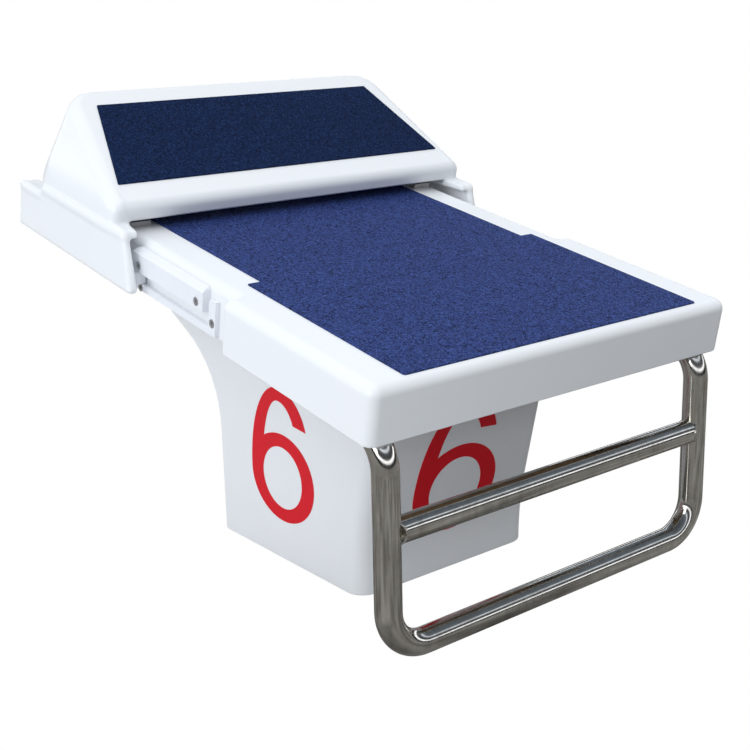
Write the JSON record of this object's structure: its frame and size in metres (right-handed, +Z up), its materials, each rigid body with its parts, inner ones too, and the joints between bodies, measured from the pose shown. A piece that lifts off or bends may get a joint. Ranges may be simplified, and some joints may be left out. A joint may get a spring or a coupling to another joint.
{
  "type": "swimming starting block",
  "caption": "Pool starting block: hollow pedestal, sloping non-slip platform, tubular backstroke handle and a wedge back plate that slides on side rails and locks.",
  "frame": {"origin": "centre of the four anchor holes, on the deck under the pedestal", "axes": "+Z up, -Y towards the pool, X across the block"},
  "size_m": [0.548, 0.7107, 0.5536],
  "materials": {
    "gelcoat": "glossy white moulded gelcoat over glass-reinforced resin",
    "platform_mat": "navy blue non-slip mat with fine grit",
    "plate_mat": "dark navy non-slip mat with fine grit",
    "rail_plastic": "white machined slide-rail plastic",
    "polished_steel": "polished stainless tube",
    "brushed_steel": "brushed stainless plate and hardware",
    "number_film": "red self-adhesive vinyl film",
    "core_ply": "resin-sealed marine plywood",
    "black_plastic": "black moulded plastic",
    "grip_rubber": "black ribbed rubber grip"
  },
  "bodies": {
    "block": {"pedestal_shell": "gelcoat", "anchor_plate": "brushed_steel", "frame_uprights": "brushed_steel", "frame_gussets": "brushed_steel", "head_plate": "brushed_steel", "head_bolts": "brushed_steel", "platform_shell": "gelcoat", "platform_core": "core_ply", "platform_mat": "platform_mat", "upper_rail_left": "rail_plastic", "upper_rail_right": "rail_plastic", "lower_rail_left": "rail_plastic", "lower_rail_right": "rail_plastic", "rail_screws": "brushed_steel", "handle_loop": "polished_steel", "handle_mid_rail": "polished_steel", "handle_saddles": "brushed_steel", "saddle_blocks": "rail_plastic", "saddle_bolts": "brushed_steel", "lock_rack_left": "brushed_steel", "lock_rack_right": "brushed_steel", "rack_screws": "brushed_steel", "lane_number_front": "number_film", "lane_number_rear": "number_film", "lane_number_left": "number_film", "lane_number_right": "number_film"},
    "back_plate": {"back_plate_shell": "gelcoat", "back_plate_mat": "plate_mat", "cross_plate": "brushed_steel", "cross_plate_screws": "brushed_steel", "front_guides": "rail_plastic", "rear_guides": "rail_plastic", "shaft_bearings": "black_plastic", "bearing_screws": "brushed_steel"},
    "lock_bar": {"lock_shaft": "brushed_steel", "shaft_collars": "brushed_steel", "lock_dogs": "brushed_steel", "lock_arms": "brushed_steel", "lock_grip": "grip_rubber", "shaft_pins": "brushed_steel"}
  },
  "joints": [
    {"name": "plate_slide", "type": "slide", "parent": "block", "child": "back_plate", "axis": [0, -0.9848, -0.1736], "range_m": [0, 0.14]},
    {"name": "lock_turn", "type": "hinge", "parent": "back_plate", "child": "lock_bar", "pos_m": [0, 0.2546, 0.4526], "axis": [-1, 0, 0], "range_deg": [0, 8]}
  ]
}
